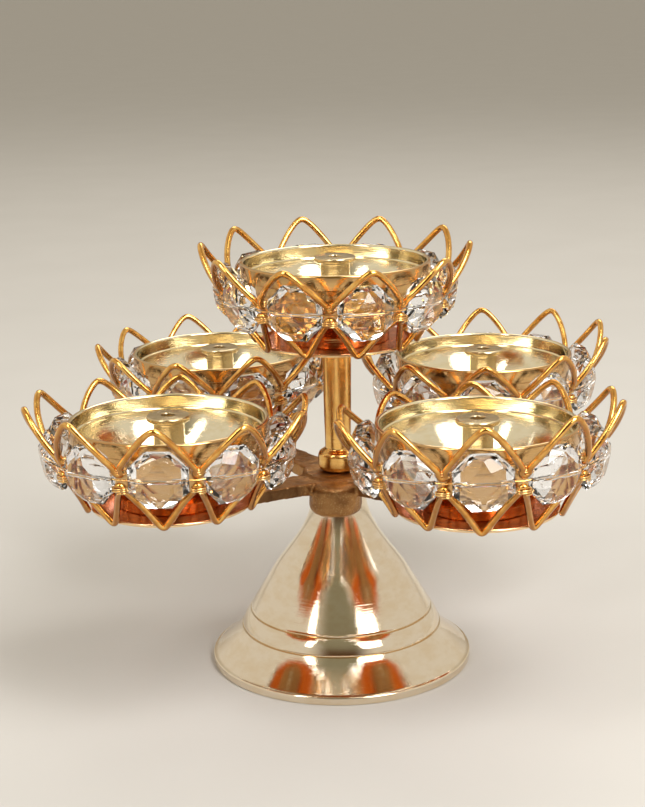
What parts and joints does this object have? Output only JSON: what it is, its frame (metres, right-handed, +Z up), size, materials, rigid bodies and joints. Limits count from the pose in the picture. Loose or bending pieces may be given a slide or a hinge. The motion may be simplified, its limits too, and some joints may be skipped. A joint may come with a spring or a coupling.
{
  "type": "standing oil lamp",
  "caption": "Standing brass oil lamp: bell-shaped base, stem and cast arms carry screw-post wick bowls, each in a wire petal basket hung with cut glass beads.",
  "frame": {"origin": "on the table under the middle of the lamp, at the foot of the base", "axes": "+Z up; the front, between the two front lamps, faces -Y; +X to the right"},
  "size_m": [0.1473, 0.1484, 0.1122],
  "materials": {
    "base_brass": "polished",
    "cast_brass": "rough as cast, filed edges",
    "stem_brass": "turned satin",
    "bolt_steel": "bright zinc",
    "bowl_brass": "polished",
    "post_brass": "turned, polished",
    "seal_leather": "oiled",
    "disc_brass": "red-gold lacquer",
    "wire_gold": "bright gold plate",
    "tie_gold": "bright gold plate",
    "bead_glass": "cut clear glass"
  },
  "bodies": {
    "stand": {"base_bell": "base_brass", "arm_casting": "cast_brass", "stem": "stem_brass", "base_bolt": "bolt_steel", "base_washer": "bolt_steel", "front_left_bowl": "bowl_brass", "front_left_basket_disc": "disc_brass", "front_left_petal_wire": "wire_gold", "front_left_strut_wire": "wire_gold", "front_left_glass_beads": "bead_glass", "front_left_tie_wire": "tie_gold", "front_right_bowl": "bowl_brass", "front_right_basket_disc": "disc_brass", "front_right_petal_wire": "wire_gold", "front_right_strut_wire": "wire_gold", "front_right_glass_beads": "bead_glass", "front_right_tie_wire": "tie_gold", "back_left_bowl": "bowl_brass", "back_left_basket_disc": "disc_brass", "back_left_petal_wire": "wire_gold", "back_left_strut_wire": "wire_gold", "back_left_glass_beads": "bead_glass", "back_left_tie_wire": "tie_gold", "back_right_bowl": "bowl_brass", "back_right_basket_disc": "disc_brass", "back_right_petal_wire": "wire_gold", "back_right_strut_wire": "wire_gold", "back_right_glass_beads": "bead_glass", "back_right_tie_wire": "tie_gold", "top_bowl": "bowl_brass", "top_basket_disc": "disc_brass", "top_petal_wire": "wire_gold", "top_strut_wire": "wire_gold", "top_glass_beads": "bead_glass", "top_tie_wire": "tie_gold"},
    "front_left_washer": {"front_left_seal_washer": "seal_leather"},
    "front_left_post": {"front_left_wick_post": "post_brass"},
    "front_right_washer": {"front_right_seal_washer": "seal_leather"},
    "front_right_post": {"front_right_wick_post": "post_brass"},
    "back_left_washer": {"back_left_seal_washer": "seal_leather"},
    "back_left_post": {"back_left_wick_post": "post_brass"},
    "back_right_washer": {"back_right_seal_washer": "seal_leather"},
    "back_right_post": {"back_right_wick_post": "post_brass"},
    "top_washer": {"top_seal_washer": "seal_leather"},
    "top_post": {"top_wick_post": "post_brass"}
  },
  "joints": [
    {"name": "front_left_post_lift", "type": "slide", "parent": "stand", "child": "front_left_washer", "axis": [0, 0, 1], "range_m": [0, 0.0035]},
    {"name": "front_left_post_turn", "type": "hinge", "parent": "front_left_washer", "child": "front_left_post", "pos_m": [-0.04022, -0.03257, 0.0582], "axis": [0, 0, 1], "range_deg": [0, 1805]},
    {"name": "front_right_post_lift", "type": "slide", "parent": "stand", "child": "front_right_washer", "axis": [0, 0, 1], "range_m": [0, 0.0035]},
    {"name": "front_right_post_turn", "type": "hinge", "parent": "front_right_washer", "child": "front_right_post", "pos_m": [0.03257, -0.04022, 0.0582], "axis": [0, 0, 1], "range_deg": [0, 1805]},
    {"name": "back_left_post_lift", "type": "slide", "parent": "stand", "child": "back_left_washer", "axis": [0, 0, 1], "range_m": [0, 0.0035]},
    {"name": "back_left_post_turn", "type": "hinge", "parent": "back_left_washer", "child": "back_left_post", "pos_m": [-0.03257, 0.04022, 0.0582], "axis": [0, 0, 1], "range_deg": [0, 1805]},
    {"name": "back_right_post_lift", "type": "slide", "parent": "stand", "child": "back_right_washer", "axis": [0, 0, 1], "range_m": [0, 0.0035]},
    {"name": "back_right_post_turn", "type": "hinge", "parent": "back_right_washer", "child": "back_right_post", "pos_m": [0.04022, 0.03257, 0.0582], "axis": [0, 0, 1], "range_deg": [0, 1805]},
    {"name": "top_post_lift", "type": "slide", "parent": "stand", "child": "top_washer", "axis": [0, 0, 1], "range_m": [0, 0.0035]},
    {"name": "top_post_turn", "type": "hinge", "parent": "top_washer", "child": "top_post", "pos_m": [0, 0, 0.09], "axis": [0, 0, 1], "range_deg": [0, 1805]}
  ],
  "couplings": [
    {"joint": "front_left_post_turn", "follows": "front_left_post_lift", "rad_per_m": 8976},
    {"joint": "front_right_post_turn", "follows": "front_right_post_lift", "rad_per_m": 8976},
    {"joint": "back_left_post_turn", "follows": "back_left_post_lift", "rad_per_m": 8976},
    {"joint": "back_right_post_turn", "follows": "back_right_post_lift", "rad_per_m": 8976},
    {"joint": "top_post_turn", "follows": "top_post_lift", "rad_per_m": 8976}
  ]
}
